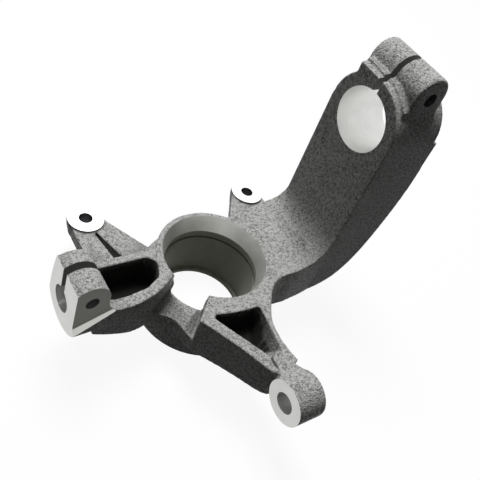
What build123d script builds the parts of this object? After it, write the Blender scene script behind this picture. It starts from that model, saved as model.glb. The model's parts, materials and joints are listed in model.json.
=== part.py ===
from build123d import *
import os

# Steering knuckle for a strut front axle: one iron casting with machined seats.
# Millimetres. X points to the strut clamp, Y to the brake caliper ears and Z inboard, along the
# wheel axis. Heights are drawn from the inboard face of the hub, so what lies outboard of that
# face is negative. At the end the casting is moved so that the origin is the wheel bearing's centre.

# Hub: a flared mouth, a snap ring groove, the bearing seat and a lip the bearing stops against
mouth_radius = 40.0
mouth_depth = 13.0
bearing_radius = 36.0
bearing_width = 37.0
ring_groove_drop = 5.2
ring_groove_width = 2.2
ring_groove_depth = 1.6
lip_height = 2.2
lip_thickness = 3.1
rim_wall = 4.0
rim_height = 20.0
barrel_wall = 15.0
barrel_chamfer = 2.0

# Sunk part of the hub wall between the ball joint arm and the steering arm
sunk_depth = 23.4
web_depth = 13.0

# Ball joint arm, a pocketed beam that runs to -X
ball_arm_far_side = 18.7
ball_arm_near_side = -23.9
ball_arm_depth_at_hub = 36.2
ball_arm_depth_at_clamp = 21.5
ball_pocket_depth = 25.5
ball_arm_far_wall = 6.2
ball_arm_near_wall = 9.0
pocket_taper = 3.0
pocket_corner = 5.0

# Ball joint clamp: a split block, half round about its pinch bolt
ball_pin_radius = 9.6
ball_pin_y = -3.7
ball_pin_z = 0.0
ball_clamp_end = -120.0
ball_clamp_bottom = -21.9
ball_boss_x = -110.6
ball_boss_z = 15.5
ball_boss_radius = 14.3
ball_boss_foot = 10.0
ball_bolt_x = -108.8
ball_bolt_z = 14.9
ball_bolt_radius = 4.7
ball_slot_width = 5.5
ball_clamp_far_side = 14.8
spot_face_y = -24.4
spot_face_yaw = 3.5
spot_ledge_z = -10.6
spot_ledge_slope = 17.0
spot_cutter_radius = 7.0
ledge_width = 3.5

# Caliper ears, each a drilled boss on the wheel side of the inboard face
ear_hole_radius = 5.4
ear_boss_radius = 14.2
ear_face_drop = 25.0
ear_thickness = 16.0
ear_draft = 12.0
ear_straight = 5.0
leg_drop = 2.0
lower_ear_x = -66.1
lower_ear_y = 80.6
upper_ear_x = 85.2
upper_ear_y = 75.5

# Steering arm, a pocketed beam that runs to -Y, with the tie rod's eye at its end
steer_pocket_depth = 22.5
eye_x = -16.6
eye_length = 22.0
eye_y = -123.0
eye_z = -3.4
eye_radius = 16.0
tie_hole_radius = 7.5
pad_height = 3.5
neck_height = 6.8

# Strut arm: leaves the hub flat, turns inboard on a round and ends in the strut clamp
strut_radius = 23.5
strut_wall = 9.7
strut_y = 4.3
strut_z = 112.0
clamp_face_x = 88.7
clamp_length = 48.0
turn_radius = 20.0
arm_web = 11.0
arm_side_wall = 8.5
strut_slot_width = 4.3
strut_bolt_radius = 5.25
strut_bolt_x = 113.0
strut_bolt_z = 145.3
strut_boss_x = 113.0
strut_boss_z = 147.0
strut_boss_radius = 14.7
strut_ear_far = 30.0
strut_ear_near = -22.0
strut_edge_round = 2.0
collar_far_end = 26.3
collar_top = 145.8
collar_depth = 4.6
collar_step = 3.0

# How far a cutter runs past the metal
overrun = 5.0

# Heights that follow
groove_top = -(mouth_depth + ring_groove_drop)
bearing_top = groove_top - ring_groove_width
bearing_bottom = bearing_top - bearing_width
bearing_centre = bearing_top - bearing_width / 2
barrel_bottom = bearing_bottom - lip_thickness
rim_radius = mouth_radius + rim_wall
barrel_radius = bearing_radius + barrel_wall
clamp_radius = strut_radius + strut_wall
clamp_back_x = clamp_face_x + clamp_length


def plan_prism(outline, low, high):
    """A closed outline in X and Y, raised from one height to another."""
    return Pos(0, 0, low) * extrude(make_face(outline), amount=high - low)


def side_prism(outline, low, high):
    """A closed outline in X and Z, carried along Y."""
    return Pos(0, high, 0) * extrude(Plane.XZ * make_face(outline), amount=high - low)


def end_prism(outline, low, high):
    """A closed outline in Y and Z, carried along X."""
    return Pos(low, 0, 0) * extrude(Plane.YZ * make_face(outline), amount=high - low)


def rod_x(radius, y, z, low, high):
    """A cylinder along X."""
    return end_prism(Pos(y, z) * Circle(radius).edge(), low, high)


def rod_y(radius, x, z, low, high):
    """A cylinder along Y."""
    return side_prism(Pos(x, z) * Circle(radius).edge(), low, high)


def rod_z(radius, x, y, low, high):
    """A cylinder along Z."""
    return plan_prism(Pos(x, y) * Circle(radius).edge(), low, high)


def rectangle(left, bottom, right, top):
    """A closed outline from its corners."""
    return Polyline((left, bottom), (right, bottom), (right, top), (left, top), close=True)


def turned(points):
    """A solid turned about the wheel axis from its radius and height points."""
    return revolve(Plane.XZ * make_face(Polyline(*points, close=True)), Axis.Z)


def barrel():
    """The hub wall, with a thin rim inboard and one stretch of it sunk."""
    shoulder = rim_height + barrel_radius - rim_radius
    wall = turned([
        (lip_height, 0),
        (rim_radius, 0),
        (rim_radius, -rim_height),
        (barrel_radius, -shoulder),
        (barrel_radius, barrel_bottom + barrel_chamfer),
        (barrel_radius - barrel_chamfer, barrel_bottom),
        (lip_height, barrel_bottom),
    ])
    sunk = Polyline(
        (0, 0),
        (-39.6, -5.4),
        (-41.7, -9.5),
        (-55.0, -17.3),
        (-75.0, -30.0),
        (-60.0, -68.0),
        (-40.3, -49.5),
        (-24.5, -33.6),
        close=True,
    )
    return wall - plan_prism(sunk, -sunk_depth, rim_height)


def arm_web_corner():
    """The scalloped web that ties the ball joint arm to the steering arm at the sunk rim."""
    outline = Polyline((-43.9, -30.0), (-39.6, -50.2), (-22.0, -29.0), (-34.0, -8.0), (-59.0, -19.0))
    scallop = ThreePointArc((-59.0, -19.0), (-51.2, -23.0), (-43.9, -30.0))
    return plan_prism(outline + scallop, -sunk_depth - web_depth, -sunk_depth)


def ball_joint_arm():
    """The beam to the ball joint clamp, open inboard as one deep pocket."""
    curve = ThreePointArc((-78.0, ball_arm_near_side), (-59.0, -19.4), (-41.0, -9.0))
    straight = Polyline(
        (-41.0, -9.0),
        (-34.0, -4.0),
        (-34.0, ball_arm_far_side),
        (-104.0, ball_arm_far_side),
        (-104.0, ball_arm_near_side),
        (-78.0, ball_arm_near_side),
    )
    belly = ThreePointArc(
        (-104.0, -ball_arm_depth_at_clamp),
        (-83.5, -ball_arm_depth_at_clamp - 0.62 * (ball_arm_depth_at_hub - ball_arm_depth_at_clamp)),
        (-58.0, -ball_arm_depth_at_hub),
    )
    rest = Polyline(
        (-58.0, -ball_arm_depth_at_hub),
        (-30.0, -ball_arm_depth_at_hub),
        (-30.0, 0),
        (-104.0, 0),
        (-104.0, -ball_arm_depth_at_clamp),
    )
    beam = plan_prism(curve + straight, -ball_arm_depth_at_hub, 0)
    return beam & side_prism(belly + rest, ball_arm_near_side - 5, ball_arm_far_side + 5)


def ball_arm_hollow():
    """The pocket of the ball joint arm, from the clamp to the hub wall."""
    far = ball_arm_far_side - ball_arm_far_wall
    near = ball_arm_near_side + ball_arm_near_wall
    end = ball_boss_x + ball_boss_radius + 3.0
    points = [
        (end, far),
        (-50.5, far),
        (-45.0, 6.0),
        (-49.5, -5.6),
        (-62.0, -12.6),
        (-78.0, near),
        (end, near),
    ]
    outline = fillet(make_face(Polyline(*points, close=True)).vertices(), pocket_corner)
    return extrude(outline, amount=-ball_pocket_depth, taper=pocket_taper) + extrude(outline, amount=4)


def ball_joint_clamp():
    """The split block at the arm's end, before its slot, bolt hole and pin hole are cut."""
    reach = ball_boss_x - ball_clamp_end
    crown = ball_boss_z + (ball_boss_radius**2 - reach**2) ** 0.5
    flank = ball_boss_x + ball_boss_radius
    foot = ball_boss_foot
    top = ThreePointArc(
        (ball_clamp_end, crown),
        (ball_boss_x, ball_boss_z + ball_boss_radius),
        (flank, ball_boss_z),
    )
    toe = ThreePointArc(
        (flank, foot),
        (flank + foot * (1 - 0.5**0.5), foot * (1 - 0.5**0.5)),
        (flank + foot, 0),
    )
    rest = Line((flank, ball_boss_z), (flank, foot)) + Polyline(
        (flank + foot, 0),
        (flank + foot, -24.0),
        (ball_clamp_end, -24.0),
        (ball_clamp_end, crown),
    )
    near = spot_face_y - ledge_width
    belly = ThreePointArc((ball_clamp_far_side, -10.0), (-6.5, ball_clamp_bottom), (near, spot_ledge_z + 0.3))
    flare = ThreePointArc((ball_clamp_far_side, -10.0), (ball_clamp_far_side - 1.0, 9.0), (10.0, 28.5))
    sides = Polyline((near, spot_ledge_z + 0.3), (near, 40.0), (6.0, 40.0), (10.0, 28.5))
    plan = Polyline(
        (ball_clamp_end, near),
        (ball_clamp_end + 33.0, ball_arm_near_side + 0.3),
        (-80.0, ball_arm_near_side + 0.3),
        (-80.0, 25.0),
        (ball_clamp_end, 25.0),
        close=True,
    )
    block = side_prism(top + toe + rest, near - 1, 20)
    block = block & end_prism(belly + flare + sides, ball_clamp_end, -80.0)
    return block & plan_prism(plan, -30, 40)


def spot_face():
    """What the cutter takes off beside the ball joint clamp, to seat the bolt's head."""
    corner = Polyline((-60, 0), (spot_face_y, 0), (spot_face_y, 60), (-60, 60), close=True)
    profile = make_face(corner)
    inner = profile.vertices().group_by(Axis.X)[-1].sort_by(Axis.Y)[0]
    profile = fillet(inner, spot_cutter_radius)
    cutter = Pos(-15, 0, 0) * extrude(Plane.YZ * profile, amount=55)
    swing = Pos(ball_clamp_end, spot_face_y, 0) * Rot(0, 0, spot_face_yaw) * Pos(0, -spot_face_y, spot_ledge_z)
    return swing * Rot(0, -spot_ledge_slope, 0) * cutter


def ear_boss(x, y):
    """A round boss with a straight edge under its face and a drafted body."""
    face = -ear_face_drop
    edge = rod_z(ear_boss_radius, x, y, face - ear_straight, face)
    body = extrude(Circle(ear_boss_radius), amount=-(ear_thickness - ear_straight), taper=ear_draft)
    return edge + Pos(x, y, face - ear_straight) * body


def drafted_web(points, depth):
    """A web below the ears' faces, a little narrower towards the wheel."""
    outline = make_face(Polyline(*points, close=True))
    return Pos(0, 0, -ear_face_drop - leg_drop) * extrude(outline, amount=-depth, taper=6)


def lower_ear():
    """The caliper ear by the ball joint arm, on two legs with a window between them."""
    straight_leg = drafted_web(
        [
            (lower_ear_x - ear_boss_radius + 0.9, lower_ear_y - 3.0),
            (lower_ear_x - ear_boss_radius + 0.3, 15.0),
            (-56.5, 15.0),
            (-60.0, 38.9),
            (-64.4, 65.5),
            (-62.0, lower_ear_y - 6.0),
        ],
        ear_thickness - leg_drop,
    )
    slant_leg = drafted_web(
        [
            (-64.0, 72.0),
            (-62.8, 65.5),
            (-54.3, 39.2),
            (-46.0, 14.0),
            (-20.0, 30.0),
            (-30.0, 41.5),
            (-52.7, lower_ear_y - 0.8),
            (-60.0, lower_ear_y),
        ],
        ear_thickness - leg_drop,
    )
    return ear_boss(lower_ear_x, lower_ear_y) + straight_leg + slant_leg


def upper_ear():
    """The caliper ear by the strut arm, on one broad stem."""
    stem = drafted_web(
        [
            (upper_ear_x - 11.4, upper_ear_y + 6.6),
            (53.2, 52.0),
            (32.0, 28.0),
            (90.0, 28.0),
            (upper_ear_x + 12.6, 45.0),
            (upper_ear_x + 12.6, upper_ear_y),
            (upper_ear_x, upper_ear_y + 8.0),
        ],
        ear_thickness - leg_drop,
    )
    return ear_boss(upper_ear_x, upper_ear_y) + stem


def steering_arm():
    """The beam to the tie rod, with a three-cornered pocket and the eye at its end."""
    outer = ThreePointArc((-40.3, -49.5), (-28.0, -71.0), (-12.7, -103.7))
    inner = Spline((45.0, -34.5), (30.6, -38.8), (18.3, -53.1), (10.5, -66.2), (8.0, -80.0), (9.8, -100.3))
    tip = Polyline((-12.7, -103.7), (-10.0, -112.0), (4.8, -112.0), (4.8, -102.5), (9.8, -100.3))
    root = Polyline((45.0, -34.5), (45.0, -15.0), (-10.0, -15.0), (-24.5, -33.6), (-40.3, -49.5))
    depths = Polyline(
        (-10.0, 0),
        (-112.0, 0),
        (-110.0, -15.0),
        (-106.2, -23.3),
        (-102.5, -26.6),
        (-96.0, -28.6),
        (-73.0, -32.0),
        (-58.0, -34.4),
        (-10.0, -37.0),
        close=True,
    )
    beam = plan_prism(outer + tip + inner + root, -37.0, 0) & end_prism(depths, -60, 60)
    neck = Polyline((-99.5, -8.0), (-99.5, 0), (-111.0, neck_height), (-115.0, neck_height), (-115.0, -8.0), close=True)
    pad = Pos(-3.6, -104.0) * RectangleRounded(12.4, 26.0, 5.0)
    eye = rod_x(eye_radius, eye_y, eye_z, eye_x, eye_x + eye_length)
    beam = beam + end_prism(neck, -12.4, 4.8) + extrude(pad, amount=pad_height)
    return beam + eye


def steering_arm_hollow():
    """The pocket of the steering arm, whose wall by the eye slopes in further than the others."""
    hub_side = ThreePointArc((-31.5, -46.8), (-12.0, -51.2), (8.4, -51.8))
    mouth = hub_side + Polyline((8.4, -51.8), (3.2, -90.6), (-7.6, -91.3), (-31.5, -46.8))
    floor_side = ThreePointArc((-27.8, -50.2), (-10.0, -53.0), (7.0, -53.4))
    floor = floor_side + Polyline((7.0, -53.4), (-7.5, -76.5), (-11.5, -77.5), (-27.8, -50.2))
    shape = loft([make_face(mouth), Pos(0, 0, -steer_pocket_depth) * make_face(floor)], ruled=True)
    upright = shape.edges().filter_by(lambda e: e.bounding_box().size.Z > 1)
    return fillet(upright, 2.5) + extrude(make_face(mouth), amount=pad_height + 4)


def strut_arm():
    """The arm up to the strut clamp, a channel that is open on the wheel side."""
    turn = ThreePointArc(
        (clamp_face_x - turn_radius, 0),
        (clamp_face_x - turn_radius * (1 - 0.5**0.5), turn_radius * (1 - 0.5**0.5)),
        (clamp_face_x, turn_radius),
    )
    back = Spline((140.5, 90.0), (140.0, 52.0), (135.7, 24.0), (128.5, -5.0), (110.6, -33.0), (90.0, -41.0), (67.0, -40.0))
    ends = Polyline((67.0, -40.0), (20.0, -36.5), (20.0, 0), (clamp_face_x - turn_radius, 0))
    top = Polyline((clamp_face_x, turn_radius), (clamp_face_x, strut_z), (140.5, strut_z - 2.0), (140.5, 90.0))
    near = strut_y - clamp_radius
    far = strut_y + clamp_radius
    plan = Polyline(
        (20.0, -34.7),
        (58.0, -34.0),
        (clamp_face_x, near),
        (clamp_back_x + 14.0, near),
        (clamp_back_x + 14.0, far),
        (clamp_face_x, far + 0.6),
        (72.0, 40.9),
        (30.5, 32.2),
        (20.0, 32.2),
        close=True,
    )
    arm = side_prism(turn + top + back + ends, -50, 60) & plan_prism(plan, -50, 130)
    return arm - strut_arm_hollow(near, far)


def strut_arm_hollow(near, far):
    """The hollow in the arm's wheel side, between its two side walls."""
    web_x = clamp_face_x + arm_web
    roof = strut_z - clamp_radius
    turn = ThreePointArc(
        (clamp_face_x - turn_radius, -arm_web),
        (clamp_face_x - turn_radius + 0.5**0.5 * (turn_radius + arm_web), turn_radius - 0.5**0.5 * (turn_radius + arm_web)),
        (web_x, turn_radius),
    )
    rest = Polyline(
        (web_x, turn_radius),
        (web_x, roof),
        (clamp_back_x + 24.0, roof + 4.0),
        (clamp_back_x + 24.0, -60.0),
        (58.0, -60.0),
        (58.0, -arm_web),
        (clamp_face_x - turn_radius, -arm_web),
    )
    return side_prism(turn + rest, near + arm_side_wall, far - arm_side_wall)


def clamp_collar(top, radius, high):
    """One step of the stair in front of the bolt ears: round on the near side, flat on the far."""
    near_y = strut_ear_near
    near_z = strut_z + (radius**2 - (near_y - strut_y) ** 2) ** 0.5
    mid_y = strut_y - radius * 0.4
    round_side = ThreePointArc(
        (near_y, near_z),
        (mid_y, strut_z + (radius**2 - (mid_y - strut_y) ** 2) ** 0.5),
        (strut_y, strut_z + radius),
    )
    rest = Polyline(
        (strut_y, strut_z + radius),
        (collar_far_end, top),
        (collar_far_end, strut_z + 20.0),
        (near_y, strut_z + 20.0),
        (near_y, near_z),
    )
    return end_prism(round_side + rest, clamp_face_x, high)


def strut_clamp():
    """The split sleeve that grips the strut, with its two bolt ears and the stair in front of them."""
    sleeve = rod_x(clamp_radius, strut_y, strut_z, clamp_face_x, clamp_back_x)
    crown = ThreePointArc(
        (strut_boss_x - strut_boss_radius, strut_boss_z),
        (strut_boss_x, strut_boss_z + strut_boss_radius),
        (strut_boss_x + strut_boss_radius, strut_boss_z),
    )
    sides = Polyline(
        (strut_boss_x + strut_boss_radius, strut_boss_z),
        (strut_boss_x + strut_boss_radius, strut_z),
        (strut_boss_x - strut_boss_radius, strut_z),
        (strut_boss_x - strut_boss_radius, strut_boss_z),
    )
    ears = side_prism(crown + sides, strut_ear_near, strut_ear_far)
    rims = ears.faces().sort_by(Axis.Y)[0].edges() + ears.faces().sort_by(Axis.Y)[-1].edges()
    ears = fillet(rims, strut_edge_round)
    low_step = clamp_collar(collar_top, clamp_radius - 0.2, clamp_face_x + collar_depth)
    high_step = clamp_collar(
        collar_top + collar_step,
        clamp_radius + 2.5,
        strut_boss_x - strut_boss_radius + 2.0,
    )
    face = clamp_face_x + collar_depth
    high_step = high_step & end_prism(rectangle(-60, 0, 60, 200), face, clamp_back_x)
    return sleeve + ears + low_step + high_step


def hub_bore():
    """Everything turned out of the hub, on the wheel axis."""
    lip_radius = bearing_radius - lip_height
    return turned([
        (0, 20),
        (mouth_radius, 20),
        (mouth_radius, 0),
        (bearing_radius, -mouth_depth),
        (bearing_radius, groove_top),
        (bearing_radius + ring_groove_depth, groove_top),
        (bearing_radius + ring_groove_depth, bearing_top),
        (bearing_radius, bearing_top),
        (bearing_radius, bearing_bottom),
        (lip_radius, bearing_bottom),
        (lip_radius, barrel_bottom - 5),
        (0, barrel_bottom - 5),
    ])


def machine(casting):
    """Bore, drill, slot and face the raw casting, each cutter running clear by the overrun."""
    ball_flank = ball_boss_x + ball_boss_radius
    ball_run_out = ball_flank + ball_boss_foot + 8.0
    casting = casting - ball_arm_hollow() - steering_arm_hollow()
    casting = casting - hub_bore()
    casting = casting - spot_face()
    casting = casting - rod_x(ball_pin_radius, ball_pin_y, ball_pin_z, ball_clamp_end - overrun, ball_run_out)
    near_end = spot_face_y - ledge_width
    casting = casting - rod_y(ball_bolt_radius, ball_bolt_x, ball_bolt_z, near_end - overrun, ball_clamp_far_side + overrun)
    slot_top = ball_boss_z + ball_boss_radius + overrun
    casting = casting - end_prism(
        rectangle(ball_pin_y - ball_slot_width / 2, ball_pin_z, ball_pin_y + ball_slot_width / 2, slot_top),
        ball_clamp_end - overrun,
        ball_run_out,
    )
    ear_foot = -ear_face_drop - ear_thickness
    for x, y in ((lower_ear_x, lower_ear_y), (upper_ear_x, upper_ear_y)):
        casting = casting - rod_z(ear_hole_radius, x, y, ear_foot - overrun, overrun - ear_face_drop)
    casting = casting - rod_x(tie_hole_radius, eye_y, eye_z, eye_x - overrun, eye_x + eye_length + overrun)
    back = clamp_back_x + 4 * overrun
    casting = casting - rod_x(clamp_radius - 3.0, strut_y, strut_z, clamp_back_x, back)
    casting = casting - rod_x(strut_radius, strut_y, strut_z, clamp_face_x - overrun, back)
    casting = casting - rod_y(strut_bolt_radius, strut_bolt_x, strut_bolt_z, strut_ear_near - overrun, strut_ear_far + overrun)
    slot_top = strut_boss_z + strut_boss_radius + overrun
    strut_slot = rectangle(strut_y - strut_slot_width / 2, strut_z, strut_y + strut_slot_width / 2, slot_top)
    return casting - end_prism(strut_slot, clamp_face_x - overrun, clamp_back_x + overrun)


def steering_knuckle():
    """The finished knuckle, with the origin at the wheel bearing's centre."""
    casting = barrel() + arm_web_corner() + ball_joint_arm() + ball_joint_clamp()
    casting = casting + steering_arm() + strut_arm() + strut_clamp()
    casting = casting + lower_ear() + upper_ear()
    return Pos(0, 0, -bearing_centre) * machine(casting)


os.makedirs("parts", exist_ok=True)
export_step(steering_knuckle(), "parts/steering_knuckle.step")
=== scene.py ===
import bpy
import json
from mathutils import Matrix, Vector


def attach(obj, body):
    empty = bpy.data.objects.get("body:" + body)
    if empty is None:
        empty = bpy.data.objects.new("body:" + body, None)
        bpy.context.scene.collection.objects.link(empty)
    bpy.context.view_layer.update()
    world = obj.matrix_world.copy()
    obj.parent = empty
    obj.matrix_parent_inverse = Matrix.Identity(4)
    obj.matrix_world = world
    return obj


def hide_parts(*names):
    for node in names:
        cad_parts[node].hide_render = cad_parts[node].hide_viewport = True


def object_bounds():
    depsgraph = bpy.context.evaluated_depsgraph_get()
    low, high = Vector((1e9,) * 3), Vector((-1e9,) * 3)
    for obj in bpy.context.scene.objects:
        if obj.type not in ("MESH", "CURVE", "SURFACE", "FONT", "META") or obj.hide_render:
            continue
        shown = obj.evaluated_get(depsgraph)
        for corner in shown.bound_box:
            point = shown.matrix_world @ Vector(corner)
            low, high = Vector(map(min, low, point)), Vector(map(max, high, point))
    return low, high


bl_info = {
    "name": "Steering knuckle",
    "version": (1, 0, 0),
    "blender": (4, 5, 0),
    "location": "3D View > Sidebar > Knuckle",
    "description": "Dresses a cast steering knuckle: sand-cast skin, machined seats and a studio floor",
    "category": "Object",
}

import json
import math

import bmesh
import bpy
from mathutils import Matrix, Vector
from mathutils.bvhtree import BVHTree

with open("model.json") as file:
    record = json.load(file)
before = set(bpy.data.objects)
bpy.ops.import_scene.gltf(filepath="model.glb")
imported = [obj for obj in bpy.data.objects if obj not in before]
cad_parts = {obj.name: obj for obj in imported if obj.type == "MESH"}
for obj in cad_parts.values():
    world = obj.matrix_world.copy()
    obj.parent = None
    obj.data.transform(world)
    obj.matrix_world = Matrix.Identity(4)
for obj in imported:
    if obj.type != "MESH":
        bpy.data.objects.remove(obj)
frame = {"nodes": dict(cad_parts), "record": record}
cad_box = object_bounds()
CASTING = "steering_knuckle"
SEATS = {mount["name"]: mount for mount in frame["record"]["mounts"]}

# How far a tool runs past the metal: out of the blind side, out of the open side, and clear of a milled face
THROUGH, CLEAR, MILL_DEPTH = 0.012, 0.008, 0.010
# How near a face of the mesh has to lie to a flat or round seat to belong to it
FLAT_SLACK, ROUND_SLACK = 2e-5, 0.00015
# Where the lamps stand, the point that they look at, and their widths
KEY_PLACE, KEY_WIDTH = (0.16, 0.62, 1.68), 0.7
SIDE_PLACE, SIDE_WIDTH = (-1.02, 1.16, 0.76), 0.9
LIT_POINT = (0, 0, 0.05)
# The camera's own right and backward directions, solved from the photograph
CAMERA_RIGHT = (0.816, -0.4986, 0.2923)
CAMERA_BACK = (-0.5428, -0.4872, 0.6841)


def seat_radius(name):
    """Radius of one of the record's round seats, in metres."""
    return SEATS[name]["dims"]["r_mm"] / 1000


def seat_length(name):
    """Length of one of the record's round seats, in metres."""
    return SEATS[name]["dims"]["length_mm"] / 1000


def seat_centre(name):
    """Centre of one of the record's seats, in the row frame."""
    return Vector(SEATS[name]["pos_m"])


class SkinSettings(bpy.types.PropertyGroup):
    """Sizes of the raw casting's skin and of the machining that follows."""

    voxel: bpy.props.FloatProperty(
        name="Skin detail", description="Grid that the casting's skin is drawn on",
        default=0.0008, min=0.0005, unit="LENGTH")
    rounding: bpy.props.IntProperty(
        name="Rounding", description="How often the skin is evened out, which rounds its edges",
        default=5, min=0, max=40)
    keep: bpy.props.FloatProperty(
        name="Faces kept", description="Share of the skin's faces that is kept",
        default=0.32, min=0.1, max=1.0, subtype="FACTOR")
    allowance: bpy.props.FloatProperty(
        name="Machining allowance", description="Metal left on each seat before it is cut",
        default=0.0025, unit="LENGTH")
    mouth_radius: bpy.props.FloatProperty(
        name="Mouth radius", description="Radius of the hub's flared mouth at the rim",
        default=0.040, unit="LENGTH")
    mouth_depth: bpy.props.FloatProperty(
        name="Mouth depth", description="Depth of the flare",
        default=0.013, unit="LENGTH")
    groove_drop: bpy.props.FloatProperty(
        name="Groove drop", description="From the flare's foot to the snap ring groove",
        default=0.0052, unit="LENGTH")
    groove_width: bpy.props.FloatProperty(
        name="Groove width", description="Width of the snap ring groove",
        default=0.0022, unit="LENGTH")
    groove_depth: bpy.props.FloatProperty(
        name="Groove depth", description="Depth of the snap ring groove",
        default=0.0016, unit="LENGTH")
    lip: bpy.props.FloatProperty(
        name="Lip height", description="How far the lip under the bearing stands in",
        default=0.0022, unit="LENGTH")
    strut_slot: bpy.props.FloatProperty(
        name="Strut slot", description="Width of the strut clamp's slot",
        default=0.0043, unit="LENGTH")
    ball_slot: bpy.props.FloatProperty(
        name="Ball joint slot", description="Width of the ball joint clamp's slot",
        default=0.0055, unit="LENGTH")
    spot_face: bpy.props.FloatProperty(
        name="Bolt seat", description="Place along Y of the milled wall under the clamp bolt's head",
        default=-0.0244, unit="LENGTH")
    spot_ledge: bpy.props.FloatProperty(
        name="Ledge height", description="Height of the milled ledge at its end, from the ball joint pin",
        default=-0.0106, unit="LENGTH")
    spot_slope: bpy.props.FloatProperty(
        name="Ledge slope", description="Slope of the milled ledge",
        default=math.radians(17.0), subtype="ANGLE")
    spot_yaw: bpy.props.FloatProperty(
        name="Bolt seat yaw", description="How far the milled wall is turned about Z",
        default=math.radians(3.5), subtype="ANGLE")
    spot_round: bpy.props.FloatProperty(
        name="Ledge round", description="Radius that the cutter leaves between wall and ledge",
        default=0.007, unit="LENGTH")


class FinishSettings(bpy.types.PropertyGroup):
    """Colours and grain of the casting's finishes."""

    skin: bpy.props.FloatVectorProperty(
        name="Cast skin", description="Colour of the blasted grains of the cast skin",
        default=(0.56, 0.56, 0.55), size=3, min=0, max=1, subtype="COLOR")
    skin_pit: bpy.props.FloatVectorProperty(
        name="Skin pits", description="Colour of the pits between the grains",
        default=(0.12, 0.12, 0.11), size=3, min=0, max=1, subtype="COLOR")
    # Painted shade: the near black colour that the cast skin takes where the metal round it shuts it in.
    painted_recess_shade: bpy.props.FloatVectorProperty(
        name="Recesses", description="Colour of the black scale that blasting leaves in pockets and corners",
        default=(0.020, 0.020, 0.018), size=3, min=0, max=1, subtype="COLOR")
    mouth: bpy.props.FloatVectorProperty(
        name="Turned mouth", description="Colour of the hub's turned mouth",
        default=(0.78, 0.78, 0.75), size=3, min=0, max=1, subtype="COLOR")
    # Painted shade: the bearing seat is darker and duller than the other cut metal, which stands in for the
    # shade inside the bore.
    bearing: bpy.props.FloatVectorProperty(
        name="Bearing seat", description="Colour of the oiled bearing seat",
        default=(0.34, 0.34, 0.29), size=3, min=0, max=1, subtype="COLOR")
    sawn: bpy.props.FloatVectorProperty(
        name="Sawn slots", description="Colour of the sawn slots",
        default=(0.25, 0.25, 0.24), size=3, min=0, max=1, subtype="COLOR")
    milled: bpy.props.FloatVectorProperty(
        name="Milled metal", description="Colour of milled faces",
        default=(0.72, 0.72, 0.70), size=3, min=0, max=1, subtype="COLOR")
    spot: bpy.props.FloatVectorProperty(
        name="Bolt seat", description="Colour of the milled seat under the bolt's head",
        default=(0.55, 0.55, 0.49), size=3, min=0, max=1, subtype="COLOR")
    ledge: bpy.props.FloatVectorProperty(
        name="Milled ledge", description="Colour of the clean milled ledge under the bolt seat",
        default=(0.66, 0.66, 0.62), size=3, min=0, max=1, subtype="COLOR")
    # Painted light: the ball joint's bolt hole is lighter than the holes like it, for the light that falls
    # inside it.
    lit_bolt_hole: bpy.props.FloatVectorProperty(
        name="Bolt hole", description="Colour of the reamed hole of the ball joint clamp's bolt",
        default=(0.34, 0.34, 0.34), size=3, min=0, max=1, subtype="COLOR")
    # Painted shade: the drilled holes are near black, for the shade inside them.
    hole: bpy.props.FloatVectorProperty(
        name="Drilled holes", description="Colour of the oiled drilled holes",
        default=(0.10, 0.10, 0.11), size=3, min=0, max=1, subtype="COLOR")
    grain: bpy.props.FloatProperty(
        name="Grain", description="Size of the sand's grain in the cast skin",
        default=0.0010, unit="LENGTH")
    relief: bpy.props.FloatProperty(
        name="Relief", description="Height of the grain",
        default=0.0016, unit="LENGTH")


class StageSettings(bpy.types.PropertyGroup):
    """The camera, lamps and floor."""

    camera: bpy.props.FloatVectorProperty(
        name="Camera", description="Where the camera stands",
        default=(-0.2414, -0.2335, 0.3774), size=3, subtype="TRANSLATION", unit="LENGTH")
    lens: bpy.props.FloatProperty(
        name="Lens", description="Focal length on a 36 mm sensor, in millimetres",
        default=48.0)
    floor: bpy.props.FloatVectorProperty(
        name="Floor", description="Colour of the floor",
        default=(0.97, 0.97, 0.97), size=3, min=0, max=1, subtype="COLOR")
    key: bpy.props.FloatProperty(
        name="Key lamp", description="Power of the lamp over the far side, in watts",
        default=35.0)
    fill: bpy.props.FloatProperty(
        name="Side lamp", description="Power of the lamp that lights the milled ends, in watts",
        default=1.2)
    ambient: bpy.props.FloatProperty(
        name="Room light", description="Strength of the room's own light",
        default=0.012)


class Wire:
    """A node's output that can be used in a sum, so that shader maths reads as plain maths."""

    def __init__(self, sheet, socket):
        self.sheet = sheet
        self.socket = socket

    def maths(self, operation, *terms):
        return self.sheet.add("ShaderNodeMath", {"operation": operation}, dict(enumerate(terms)))

    def __add__(self, other):
        return self.maths("ADD", self, other)

    def __radd__(self, other):
        return self.maths("ADD", other, self)

    def __sub__(self, other):
        return self.maths("SUBTRACT", self, other)

    def __rsub__(self, other):
        return self.maths("SUBTRACT", other, self)

    def __mul__(self, other):
        return self.maths("MULTIPLY", self, other)

    def __rmul__(self, other):
        return self.maths("MULTIPLY", other, self)

    def larger(self, other):
        return self.maths("MAXIMUM", self, other)


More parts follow.
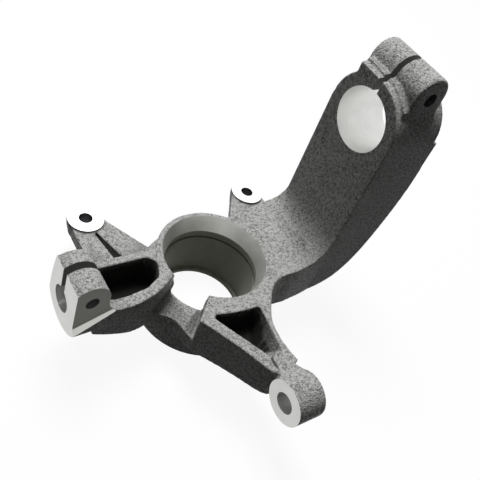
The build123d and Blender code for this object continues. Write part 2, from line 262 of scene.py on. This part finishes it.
class Finish:
    """A material under construction, or the world's, with one method for every kind of node."""

    def __init__(self, owner):
        owner.use_nodes = True
        self.tree = owner.node_tree
        self.tree.nodes.clear()

    def add(self, kind, settings=None, sockets=None, output=0):
        """Adds a node, makes its settings, then sets or links its sockets, and gives one output."""
        node = self.tree.nodes.new(kind)
        for name, value in (settings or {}).items():
            if name == "stops":
                self.stops(node.color_ramp, value)
            else:
                setattr(node, name, value)
        for key, value in (sockets or {}).items():
            if isinstance(value, Wire):
                self.tree.links.new(value.socket, node.inputs[key])
            else:
                node.inputs[key].default_value = value
        return Wire(self, node.outputs[output]) if len(node.outputs) else None

    def stops(self, ramp, stops):
        """Places a ramp's stops, each a position and a grey."""
        while len(ramp.elements) > 1:
            ramp.elements.remove(ramp.elements[0])
        for number, (place, grey) in enumerate(stops):
            stop = ramp.elements[0] if number == 0 else ramp.elements.new(place)
            stop.position = place
            stop.color = (grey, grey, grey, 1.0)

    def places(self):
        """The point on the object, in the row frame, in metres."""
        return self.add("ShaderNodeTexCoord", output="Object")

    def noise(self, places, size, detail=2.0, roughness=0.5):
        """Noise whose features are about that size, in metres, around 0.5."""
        return self.add("ShaderNodeTexNoise", {"noise_dimensions": "3D"},
                        {"Vector": places, "Scale": 1 / size, "Detail": detail, "Roughness": roughness})

    def ramp(self, value, stops):
        """A value passed through a ramp."""
        return self.add("ShaderNodeValToRGB", {"stops": stops}, {"Fac": value})

    def blend(self, share, first, second):
        """Two colours mixed."""
        return self.add("ShaderNodeMix", {"data_type": "RGBA"}, {0: share, 6: first, 7: second}, output=2)

    def surface(self, shader):
        """The shader goes to the output."""
        world = shader.socket.node.bl_idname == "ShaderNodeBackground"
        self.add("ShaderNodeOutputWorld" if world else "ShaderNodeOutputMaterial", None, {"Surface": shader})


def colour4(colour):
    """A colour with full opacity."""
    return tuple(colour) + (1.0,)


def cast_skin_with_painted_shade(name, finish):
    """Sand-cast iron: pale blasted grains over dark pits, and painted shade, near black, where the metal
    round a point shuts it in.
    """
    material = bpy.data.materials.new(name)
    sheet = Finish(material)
    places = sheet.places()
    fine = sheet.noise(places, finish.grain, 3.0, 0.65)
    coarse = sheet.noise(places, finish.grain * 2.2, 2.0, 0.5)
    broad = sheet.noise(places, 0.030, 3.0, 0.5)
    grains = fine * 0.65 + coarse * 0.35
    worn = sheet.ramp(grains + (broad - 0.5) * 0.08, [(0.38, 0.0), (0.56, 1.0)])
    blasted = sheet.blend(worn, colour4(finish.skin_pit), colour4(finish.skin))
    # Painted shade: the baked occlusion share turns the skin near black in pockets and corners.
    shelter = sheet.add("ShaderNodeAttribute", {"attribute_name": "shelter"}, output="Fac")
    painted_shade_share = sheet.ramp(shelter + (coarse - 0.5) * 0.15, [(0.08, 0.0), (0.55, 1.0)])
    colour = sheet.blend(painted_shade_share, blasted, colour4(finish.painted_recess_shade))
    rough = sheet.ramp(grains, [(0.35, 0.60), (0.60, 0.38)])
    bump = sheet.add("ShaderNodeBump", None, {
        "Strength": 1.0, "Distance": finish.relief, "Height": grains})
    sheet.surface(sheet.add("ShaderNodeBsdfPrincipled", None, {
        "Base Color": colour, "Roughness": rough, "Normal": bump, "Specular IOR Level": 0.10}))
    return material


def cut_metal(name, colour, roughness, lay, shine, gloss=0.5, depth=0.00003):
    """Machined iron, with the tool's fine lines lying across the given direction."""
    material = bpy.data.materials.new(name)
    sheet = Finish(material)
    places = sheet.places()
    stretch = sheet.add("ShaderNodeVectorMath", {"operation": "MULTIPLY"}, {0: places, 1: lay})
    lines = sheet.noise(stretch, 0.0006, 3.0, 0.6)
    stain = sheet.noise(places, 0.012, 3.0, 0.55)
    shade = sheet.ramp(lines * 0.35 + stain * 0.65, [(0.3, 0.82), (0.7, 1.0)])
    tone = sheet.add("ShaderNodeMix", {"data_type": "RGBA", "blend_type": "MULTIPLY"},
                     {0: 1.0, 6: colour4(colour), 7: shade}, output=2)
    rough = sheet.ramp(lines * 0.5 + stain * 0.5, [(0.3, roughness - 0.06), (0.7, roughness + 0.08)])
    bump = sheet.add("ShaderNodeBump", None, {"Strength": 0.5, "Distance": depth, "Height": lines})
    sheet.surface(sheet.add("ShaderNodeBsdfPrincipled", None, {
        "Base Color": tone, "Metallic": shine, "Roughness": rough,
        "Specular IOR Level": gloss, "Normal": bump}))
    return material


class Seat:
    """One machined surface: which faces belong to it, and which way its spare metal lies."""

    def __init__(self, name, finish):
        self.name = name
        self.finish = finish

    def holds(self, centre, normal):
        raise NotImplementedError

    def outward(self, point):
        raise NotImplementedError


class Bore(Seat):
    """A straight bore between two places along its axis."""

    def __init__(self, name, finish, centre, axis, low, high, radius):
        super().__init__(name, finish)
        self.centre = Vector(centre)
        self.axis = Vector(axis).normalized()
        self.low, self.high, self.radius = low, high, radius

    def apart(self, point):
        """The place along the axis, and the way from the axis to the point."""
        offset = Vector(point) - self.centre
        along = offset.dot(self.axis)
        return along, offset - along * self.axis

    def holds(self, centre, normal):
        along, away = self.apart(centre)
        if not self.low <= along <= self.high:
            return False
        return abs(away.length - self.radius) < ROUND_SLACK and normal.dot(away.normalized()) < -0.8

    def outward(self, point):
        return -self.apart(point)[1].normalized()


class TurnedBore(Bore):
    """Everything turned out of the hub: walls that look at the axis, and the flat steps between them."""

    def __init__(self, name, finish, centre, axis, low, high, radius, steps):
        super().__init__(name, finish, centre, axis, low, high, radius)
        self.steps = steps

    def holds(self, centre, normal):
        along, away = self.apart(centre)
        if not self.low <= along <= self.high or away.length > self.radius:
            return False
        if abs(normal.dot(self.axis)) > 0.99:
            return any(abs(along - step) < FLAT_SLACK for step in self.steps)
        return normal.dot(away.normalized()) < -0.3


class Flat(Seat):
    """A flat face, cut square to its normal."""

    def __init__(self, name, finish, point, normal, near=None, reach=1.0):
        super().__init__(name, finish)
        self.point = Vector(point)
        self.normal = Vector(normal).normalized()
        self.near = Vector(near) if near else None
        self.reach = reach

    def holds(self, centre, normal):
        depth = (Vector(centre) - self.point).dot(self.normal)
        if normal.dot(self.normal) < 0.999 or abs(depth) > FLAT_SLACK:
            return False
        return self.near is None or (Vector(centre) - self.near).length < self.reach

    def outward(self, point):
        return self.normal


def bolt_seat_place(skin):
    """Where the milled wall and ledge beside the ball joint clamp stand, measured from their end."""
    corner = Vector((cad_box[0][0], skin.spot_face, 0))
    drop = Vector((0, -skin.spot_face, seat_centre("ball_joint_clamp").z + skin.spot_ledge))
    yaw = Matrix.Rotation(skin.spot_yaw, 4, "Z")
    slope = Matrix.Rotation(-skin.spot_slope, 4, "Y")
    return Matrix.Translation(corner) @ yaw @ Matrix.Translation(drop) @ slope


class BoltSeat(Seat):
    """The milled wall beside the ball joint clamp, or the ledge at its foot."""

    def __init__(self, name, finish, skin, ledge):
        super().__init__(name, finish)
        self.ledge = ledge
        self.wall, self.round = skin.spot_face, skin.spot_round
        self.place = bolt_seat_place(skin)

    def holds(self, centre, normal):
        spot = self.place.inverted() @ Vector(centre)
        facing = self.place.to_3x3().inverted() @ normal
        if spot.x < -0.001 or spot.x > 0.045 or spot.z > 0.05 or self.ledge != (spot.z < self.round * 0.6):
            return False
        if spot.z > self.round and abs(spot.y - self.wall) < 3e-5 and facing.y < -0.999:
            return True
        across = math.hypot(spot.y - (self.wall - self.round), spot.z - self.round)
        if spot.y > self.wall - self.round and spot.z < self.round and abs(across - self.round) < 0.00012:
            return facing.y < 0.1 and facing.z > -0.1
        return abs(spot.z) < 3e-5 and spot.y <= self.wall - self.round + 1e-4 and facing.z > 0.999

    def outward(self, point):
        spot = self.place.inverted() @ Vector(point)
        centre = Vector((0, self.wall - self.round, self.round))
        way = Vector((0, min(centre.y - spot.y, 0), max(centre.z - spot.z, 0)))
        if way.length < 1e-6:
            way = Vector((0, -1, 0))
        return (self.place.to_3x3() @ way).normalized()


def machined_seats(skin):
    """Every machined surface of the knuckle."""
    hub_low = cad_box[0][2]
    bearing_half = seat_length("bearing_bore") / 2
    groove_top = bearing_half + skin.groove_width
    mouth_foot = groove_top + skin.groove_drop
    rim = mouth_foot + skin.mouth_depth
    hub = ((0, 0, 0), (0, 0, 1))
    ball = seat_centre("ball_joint_clamp")
    ball_end = cad_box[0][0]
    tie = seat_centre("tie_rod_hole")
    eye_face = tie.x - seat_length("tie_rod_hole") / 2
    strut = seat_centre("strut_clamp")
    strut_half = seat_length("strut_clamp") / 2
    seats = [
        TurnedBore("bearing seat", "bearing", *hub, hub_low - 1e-4, mouth_foot, skin.mouth_radius,
                   (-bearing_half, bearing_half, groove_top)),
        TurnedBore("mouth", "turned_z", *hub, mouth_foot, rim + 3e-4, skin.mouth_radius + 1e-4, ()),
        Bore("strut", "strut_bore", strut, (1, 0, 0), -strut_half - 0.003, strut_half + CLEAR,
             seat_radius("strut_clamp")),
        Bore("ball pin", "turned_x", ball, (1, 0, 0), -0.03, 0.03, seat_radius("ball_joint_clamp")),
        Bore("tie rod", "turned_x", tie, (1, 0, 0), -0.02, 0.02, seat_radius("tie_rod_hole")),
        Flat("ball joint end", "milled", (ball_end, 0, 0), (-1, 0, 0)),
        Flat("eye face", "milled", (eye_face, 0, 0), (-1, 0, 0), near=tie, reach=0.025),
        Flat("hub foot", "milled", (0, 0, hub_low), (0, 0, -1)),
        BoltSeat("bolt seat", "spot", skin, False),
        BoltSeat("bolt seat", "ledge", skin, True),
    ]
    for name in ("caliper_hole_lower", "caliper_hole_upper"):
        centre, half = seat_centre(name), seat_length(name) / 2
        face = centre + Vector((0, 0, half))
        seats.append(Bore(name, "hole", centre, (0, 0, 1), -half - 0.004, half + 0.001, seat_radius(name)))
        seats.append(Flat(name + " face", "faced", face, (0, 0, 1), near=centre, reach=0.025))
    # The two pinch bolt holes are alike: the ball joint's takes the painted light colour, and the strut's
    # takes the near black painted shade of the drilled holes.
    for name, look in (("strut_pinch_bolt", "hole"), ("ball_joint_pinch_bolt", "lit_bolt_hole")):
        centre, reach = seat_centre(name), seat_length(name) / 2 + 0.004
        seats.append(Bore(name, look, centre, (0, 1, 0), -reach, reach, seat_radius(name)))
    above_strut, above_ball = strut + Vector((0, 0, 0.04)), ball + Vector((0, 0, 0.02))
    for side in (-1, 1):
        wall = strut + Vector((0, side * skin.strut_slot / 2, 0))
        seats.append(Flat("strut slot", "sawn", wall, (0, -side, 0), near=above_strut, reach=0.05))
        wall = ball + Vector((0, side * skin.ball_slot / 2, 0))
        seats.append(Flat("ball slot", "sawn", wall, (0, -side, 0), near=above_ball, reach=0.04))
    return seats


def leave_allowance(mesh, seats, allowance, widths):
    """Thickens every machined surface, so that the skin's rounding doesn't reach the finished metal."""
    spare = {}
    chosen = []
    for face in mesh.faces:
        centre = face.calc_center_median()
        for seat in seats:
            if not seat.holds(centre, face.normal):
                continue
            chosen.append(face)
            reach = widths.get(seat.name, allowance)
            if seat.name in widths and seat.normal.y > 0:
                reach = 0.0
            for corner in face.verts:
                ways = spare.setdefault(corner.index, {}).setdefault(seat.name, [])
                ways.append((seat.outward(corner.co), reach))
            break
    mesh.verts.index_update()
    tag = mesh.verts.layers.int.new("corner")
    for corner in mesh.verts:
        corner[tag] = corner.index
    made = bmesh.ops.extrude_face_region(mesh, geom=chosen)
    for corner in [item for item in made["geom"] if isinstance(item, bmesh.types.BMVert)]:
        for ways in spare.get(corner[tag], {}).values():
            reach = max(way[1] for way in ways)
            way = sum((way[0] for way in ways), Vector())
            if way.length > 1e-6:
                corner.co += way.normalized() * reach
    bmesh.ops.delete(mesh, geom=chosen, context="FACES")


def shown(mesh, name):
    """A mesh as an object of the scene."""
    thing = bpy.data.objects.new(name, mesh)
    bpy.context.scene.collection.objects.link(thing)
    return thing


def settled(thing, name):
    """The object's mesh with its modifiers applied."""
    bpy.context.view_layer.update()
    ready = thing.evaluated_get(bpy.context.evaluated_depsgraph_get())
    mesh = bpy.data.meshes.new_from_object(ready)
    mesh.name = name
    return mesh


def turned_cutter(name, profile, centre, axis, steps=144):
    """A closed solid turned about an axis from its place-along and radius points."""
    mesh = bmesh.new()
    rings = []
    for along, radius in profile:
        ring = []
        for step in range(steps):
            angle = 2 * math.pi * step / steps
            ring.append(mesh.verts.new((radius * math.cos(angle), radius * math.sin(angle), along)))
        rings.append(ring)
    for lower, upper in zip(rings, rings[1:]):
        for step in range(steps):
            after = (step + 1) % steps
            mesh.faces.new((lower[step], lower[after], upper[after], upper[step]))
    mesh.faces.new(list(reversed(rings[0])))
    mesh.faces.new(rings[-1])
    turn = Vector((0, 0, 1)).rotation_difference(Vector(axis)).to_matrix().to_4x4()
    mesh.transform(Matrix.Translation(centre) @ turn)
    return cutter_from(mesh, name)


def prism_cutter(name, outline, low, high, place=Matrix.Identity(4)):
    """A closed solid with an outline in Y and Z, carried along X."""
    mesh = bmesh.new()
    near = [mesh.verts.new((low, y, z)) for y, z in outline]
    far = [mesh.verts.new((high, y, z)) for y, z in outline]
    mesh.faces.new(list(reversed(near)))
    mesh.faces.new(far)
    for step in range(len(outline)):
        after = (step + 1) % len(outline)
        mesh.faces.new((near[step], near[after], far[after], far[step]))
    mesh.transform(place)
    return cutter_from(mesh, name)


def cutter_from(mesh, name):
    """The bmesh as an object for cutting, with its faces looking outwards."""
    bmesh.ops.recalc_face_normals(mesh, faces=mesh.faces)
    data = bpy.data.meshes.new(name)
    mesh.to_mesh(data)
    mesh.free()
    return shown(data, name)


def cutters(skin):
    """The tools that finish the casting, in the order of the machining."""
    allowance = skin.allowance * 2
    bearing, half = seat_radius("bearing_bore"), seat_length("bearing_bore") / 2
    groove_top = half + skin.groove_width
    mouth_foot = groove_top + skin.groove_drop
    rim = mouth_foot + skin.mouth_depth
    hub_low = cad_box[0][2]
    slope = (skin.mouth_radius - bearing) / skin.mouth_depth
    tools = [turned_cutter("hub tool", [
        (hub_low - MILL_DEPTH, bearing - skin.lip),
        (-half, bearing - skin.lip),
        (-half, bearing),
        (half, bearing),
        (half, bearing + skin.groove_depth),
        (groove_top, bearing + skin.groove_depth),
        (groove_top, bearing),
        (mouth_foot, bearing),
        (rim + 0.003, skin.mouth_radius + slope * 0.003),
        (rim + 0.003, skin.mouth_radius + slope * 0.003 + 0.0001),
        (rim + 0.012, skin.mouth_radius + slope * 0.003),
    ], (0, 0, 0), (0, 0, 1))]
    strut, strut_half = seat_centre("strut_clamp"), seat_length("strut_clamp") / 2
    tools.append(turned_cutter("strut tool", [
        (-strut_half - THROUGH, seat_radius("strut_clamp")),
        (strut_half + 0.02, seat_radius("strut_clamp"))], strut, (1, 0, 0)))
    ball = seat_centre("ball_joint_clamp")
    ball_end = cad_box[0][0]
    tools.append(turned_cutter("ball pin tool", [
        (ball_end - MILL_DEPTH, seat_radius("ball_joint_clamp")),
        (-0.078, seat_radius("ball_joint_clamp"))], (0, ball.y, ball.z), (1, 0, 0)))
    tie, eye_half = seat_centre("tie_rod_hole"), seat_length("tie_rod_hole") / 2
    tools.append(turned_cutter("tie rod tool", [
        (-eye_half - MILL_DEPTH, seat_radius("tie_rod_hole")),
        (eye_half + CLEAR, seat_radius("tie_rod_hole"))], tie, (1, 0, 0)))
    for name in ("caliper_hole_lower", "caliper_hole_upper"):
        centre, half_hole = seat_centre(name), seat_length(name) / 2
        tools.append(turned_cutter(name + " tool", [
            (-half_hole - THROUGH, seat_radius(name)),
            (half_hole + CLEAR, seat_radius(name))], centre, (0, 0, 1), 72))
        tools.append(turned_cutter(name + " facing tool", [
            (half_hole, 0.022), (half_hole + allowance, 0.022)], centre, (0, 0, 1), 72))
    for name in ("strut_pinch_bolt", "ball_joint_pinch_bolt"):
        reach = seat_length(name) / 2 + THROUGH
        tools.append(turned_cutter(name + " tool", [
            (-reach, seat_radius(name)), (reach, seat_radius(name))], seat_centre(name), (0, 1, 0), 72))
    side = skin.strut_slot / 2
    tools.append(prism_cutter("strut slot tool", [
        (strut.y - side, strut.z), (strut.y + side, strut.z),
        (strut.y + side, strut.z + 0.06), (strut.y - side, strut.z + 0.06)],
        strut.x - 0.04, strut.x + 0.04))
    side = skin.ball_slot / 2
    tools.append(prism_cutter("ball slot tool", [
        (ball.y - side, ball.z), (ball.y + side, ball.z),
        (ball.y + side, ball.z + 0.044), (ball.y - side, ball.z + 0.044)],
        ball_end - MILL_DEPTH, -0.079))
    tools.append(prism_cutter("end mill", [
        (-0.06, -0.03), (0.06, -0.03), (0.06, 0.12), (-0.06, 0.12)],
        ball_end - 0.02, ball_end))
    tools.append(prism_cutter("eye mill", [
        (tie.y - 0.03, tie.z - 0.03), (tie.y + 0.022, tie.z - 0.03),
        (tie.y + 0.022, tie.z + 0.03), (tie.y - 0.03, tie.z + 0.03)],
        tie.x - eye_half - CLEAR, tie.x - eye_half))
    tools.append(prism_cutter("foot mill", [
        (-0.09, hub_low - MILL_DEPTH), (0.09, hub_low - MILL_DEPTH), (0.09, hub_low), (-0.09, hub_low)],
        -0.09, 0.09))
    round_off = [(-0.09, 0.0)]
    for step in range(13):
        angle = math.pi / 2 * step / 12
        round_off.append((skin.spot_face - skin.spot_round + skin.spot_round * math.sin(angle),
                          skin.spot_round - skin.spot_round * math.cos(angle)))
    round_off += [(skin.spot_face, 0.08), (-0.09, 0.08)]
    tools.append(prism_cutter("bolt seat tool", round_off, -0.015, 0.040, bolt_seat_place(skin)))
    return tools


def bake_painted_shade_occlusion(mesh, reach=0.030, rays=20):
    """Stores how far each corner is shut in by the metal round it: the share that paints shade into the cast
    skin's colour.
    """
    tree = BVHTree.FromPolygons([corner.co for corner in mesh.vertices],
                                [face.vertices for face in mesh.polygons])
    ways = []
    for number in range(rays):
        share = (number + 0.5) / rays
        across, turn = math.sqrt(share), number * math.pi * (3 - math.sqrt(5))
        ways.append(Vector((across * math.cos(turn), across * math.sin(turn), math.sqrt(1 - share))))
    hits = []
    for corner in mesh.vertices:
        normal = corner.normal
        facing = normal.to_track_quat("Z", "Y").to_matrix()
        start = corner.co + normal * 0.0005
        hits.append(sum(tree.ray_cast(start, facing @ way, reach)[0] is not None for way in ways) / rays)
    mesh.attributes.new("shelter", "FLOAT", "POINT").data.foreach_set("value", hits)


class KNUCKLE_OT_casting(bpy.types.Operator):
    """Make the casting: a rounded sand-cast skin, then the machined seats cut into it"""

    bl_idname = "knuckle.casting"
    bl_label = "Make the casting"

    def execute(self, context):
        skin, finish = context.scene.knuckle_skin, context.scene.knuckle_finish
        seats = machined_seats(skin)
        raw = bmesh.new()
        raw.from_mesh(frame["nodes"][CASTING].data)
        bmesh.ops.remove_doubles(raw, verts=raw.verts, dist=1e-6)
        raw.normal_update()
        widths = {"strut slot": skin.strut_slot + 0.0003, "ball slot": skin.ball_slot + 0.0003}
        leave_allowance(raw, seats, skin.allowance, widths)
        data = bpy.data.meshes.new("raw")
        raw.to_mesh(data)
        raw.free()
        rough = shown(data, "raw")
        grid = rough.modifiers.new("skin", "REMESH")
        grid.mode = "VOXEL"
        grid.voxel_size = skin.voxel
        even = rough.modifiers.new("rounding", "SMOOTH")
        even.factor = 0.5
        even.iterations = skin.rounding
        thin = rough.modifiers.new("thin", "DECIMATE")
        thin.ratio = skin.keep
        part = shown(settled(rough, "knuckle_casting"), "knuckle_casting")
        bpy.data.objects.remove(rough)
        for tool in cutters(skin):
            cut = part.modifiers.new(tool.name, "BOOLEAN")
            cut.operation = "DIFFERENCE"
            cut.solver = "MANIFOLD"
            cut.object = tool
            old = part.data
            part.data = settled(part, "knuckle_casting")
            part.modifiers.clear()
            bpy.data.meshes.remove(old)
            bpy.data.objects.remove(tool)
        if len(part.data.polygons) < 20000:
            raise RuntimeError("The casting's skin is lost: a cut has gone wrong")
        self.finish_faces(part, seats, finish)
        # Bakes the occlusion share that paints shade into the skin's pockets and corners.
        bake_painted_shade_occlusion(part.data)
        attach(part, "root")
        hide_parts(CASTING)
        return {"FINISHED"}

    def finish_faces(self, part, seats, finish):
        """Gives each machined face its finish, and creases the edge round it."""
        mesh = part.data
        finishes = {
            # The cast skin carries painted shade in its pockets and corners.
            "skin": cast_skin_with_painted_shade("cast_skin_with_painted_shade", finish),
            "turned_z": cut_metal("turned_mouth", finish.mouth, 0.42, (0.02, 0.02, 1.0), 0.8),
            # Painted shade: a darker, non-metallic copy of the turned metal inside the bore.
            "bearing": cut_metal("bearing_seat_painted_shade", finish.bearing, 0.42, (0.02, 0.02, 1.0), 0.0, 0.12),
            "turned_x": cut_metal("turned_across_strut_axis", finish.milled, 0.42, (1.0, 0.02, 0.02), 0.5),
            "strut_bore": cut_metal("strut_bore", (0.86, 0.86, 0.84), 0.34, (1.0, 0.02, 0.02), 0.9),
            "milled": cut_metal("milled_face", finish.milled, 0.36, (0.3, 1.0, 1.0), 0.9),
            "spot": cut_metal("bolt_seat", finish.spot, 0.45, (0.3, 1.0, 1.0), 0.1),
            "ledge": cut_metal("milled_ledge", finish.ledge, 0.40, (0.3, 1.0, 1.0), 0.9),
            # Painted light: a lighter copy of the drilled holes' finish.
            "lit_bolt_hole": cut_metal("bolt_hole_painted_light", finish.lit_bolt_hole, 0.45, (0.1, 1.0, 0.1), 0.5),
            "faced": cut_metal("faced_ear", (0.92, 0.92, 0.91), 0.40, (1.0, 1.0, 0.3), 0.6),
            # Painted shade: near black, for the shade inside the holes.
            "hole": cut_metal("drilled_hole_painted_shade", finish.hole, 0.45, (1.0, 1.0, 1.0), 0.4),
            "sawn": cut_metal("sawn_slot", finish.sawn, 0.55, (1.0, 0.1, 1.0), 0.3),
        }
        order = list(finishes)
        mesh.materials.clear()
        for name in order:
            mesh.materials.append(finishes[name])
        shape = bmesh.new()
        shape.from_mesh(mesh)
        shape.normal_update()
        for face in shape.faces:
            centre = face.calc_center_median()
            found = next((seat for seat in seats if seat.holds(centre, face.normal)), None)
            face.material_index = order.index(found.finish) if found else 0
            face.smooth = True
        for edge in shape.edges:
            if len(edge.link_faces) != 2:
                continue
            one, two = edge.link_faces
            angle = edge.calc_face_angle(0.0)
            cut = one.material_index or two.material_index
            differ = one.material_index != two.material_index
            edge.smooth = not (differ or (cut and angle > math.radians(25)) or angle > math.radians(60))
        shape.to_mesh(mesh)
        shape.free()


class KNUCKLE_OT_stage(bpy.types.Operator):
    """Set the floor, the lamps, the room's light and the camera"""

    bl_idname = "knuckle.stage"
    bl_label = "Set the stage"

    def execute(self, context):
        stage = context.scene.knuckle_stage
        context.scene.view_settings.view_transform = "Standard"
        self.floor(stage)
        self.room(context, stage)
        self.lamp("key lamp", KEY_PLACE, KEY_WIDTH, stage.key)
        self.lamp("side lamp", SIDE_PLACE, SIDE_WIDTH, stage.fill)
        self.camera(context, stage)
        return {"FINISHED"}

    def seen(self, sheet):
        """One for what the camera or a reflection sees, and zero for what lights the object."""
        rays = {}
        node = sheet.add("ShaderNodeLightPath")
        for name in ("Is Camera Ray", "Is Glossy Ray", "Is Transmission Ray"):
            rays[name] = Wire(sheet, node.socket.node.outputs[name])
        return rays["Is Camera Ray"].larger(rays["Is Glossy Ray"]).larger(rays["Is Transmission Ray"])

    def floor(self, stage):
        """A pale floor that shows white and keeps the casting's shadow."""
        mesh = bmesh.new()
        bmesh.ops.create_grid(mesh, x_segments=2, y_segments=2, size=4.0)
        data = bpy.data.meshes.new("floor")
        mesh.to_mesh(data)
        mesh.free()
        ground = shown(data, "floor")
        ground.location = (0, 0, cad_box[0][2] - 0.0002)
        material = bpy.data.materials.new("floor_paper")
        sheet = Finish(material)
        paper = sheet.add("ShaderNodeBsdfDiffuse", None, {"Color": colour4(stage.floor)})
        glow = sheet.add("ShaderNodeEmission", None, {"Color": (1, 1, 1, 1), "Strength": 1.0})
        shown_floor = sheet.add("ShaderNodeMixShader", None, {0: 0.93, 1: paper, 2: glow})
        dull = sheet.add("ShaderNodeBsdfDiffuse", None, {"Color": (0.03, 0.03, 0.03, 1)})
        both = sheet.add("ShaderNodeMixShader", None, {0: self.seen(sheet), 1: dull, 2: shown_floor})
        sheet.surface(both)
        data.materials.append(material)

    def room(self, context, stage):
        """A plain room: white where it is seen, and a low even light on the object."""
        world = bpy.data.worlds.new("room")
        context.scene.world = world
        sheet = Finish(world)
        strength = self.seen(sheet) * (1.0 - stage.ambient) + stage.ambient
        sheet.surface(sheet.add("ShaderNodeBackground", None, {"Color": (1, 1, 1, 1), "Strength": strength}))

    def lamp(self, name, place, size, power):
        """A soft square lamp that looks at the hub."""
        light = bpy.data.lights.new(name, "AREA")
        light.energy = power
        light.size = size
        lamp = bpy.data.objects.new(name, light)
        bpy.context.scene.collection.objects.link(lamp)
        lamp.location = place
        lamp.rotation_euler = (Vector(LIT_POINT) - Vector(place)).to_track_quat("-Z", "Y").to_euler()

    def camera(self, context, stage):
        """The photograph's camera: above, in front and rolled, so that the strut arm leans to the right."""
        lens = bpy.data.cameras.new("camera")
        lens.lens = stage.lens
        lens.sensor_width = 36.0
        lens.clip_start = 0.01
        camera = bpy.data.objects.new("camera", lens)
        bpy.context.scene.collection.objects.link(camera)
        right = Vector(CAMERA_RIGHT).normalized()
        back = Vector(CAMERA_BACK).normalized()
        up = back.cross(right).normalized()
        turn = Matrix((right, up, back)).transposed().to_4x4()
        camera.matrix_world = Matrix.Translation(stage.camera) @ turn
        context.scene.camera = camera


class KNUCKLE_PT_panel(bpy.types.Panel):
    """The knuckle's pieces and settings"""

    bl_idname = "KNUCKLE_PT_panel"
    bl_label = "Steering knuckle"
    bl_space_type = "VIEW_3D"
    bl_region_type = "UI"
    bl_category = "Knuckle"

    def draw(self, context):
        layout = self.layout
        for group, operator in (("knuckle_skin", "knuckle.casting"), ("knuckle_stage", "knuckle.stage")):
            settings = getattr(context.scene, group)
            for name in settings.__annotations__:
                layout.prop(settings, name)
            layout.operator(operator)
        for name in context.scene.knuckle_finish.__annotations__:
            layout.prop(context.scene.knuckle_finish, name)


CLASSES = (SkinSettings, FinishSettings, StageSettings,
           KNUCKLE_OT_casting, KNUCKLE_OT_stage, KNUCKLE_PT_panel)
GROUPS = {"knuckle_skin": SkinSettings, "knuckle_finish": FinishSettings, "knuckle_stage": StageSettings}


def register():
    for item in CLASSES:
        bpy.utils.register_class(item)
    for name, group in GROUPS.items():
        setattr(bpy.types.Scene, name, bpy.props.PointerProperty(type=group))


def unregister():
    for name in GROUPS:
        delattr(bpy.types.Scene, name)
    for item in reversed(CLASSES):
        bpy.utils.unregister_class(item)


def main():
    register()
    bpy.ops.knuckle.casting()
    bpy.ops.knuckle.stage()


if __name__ == "__main__":
    main()
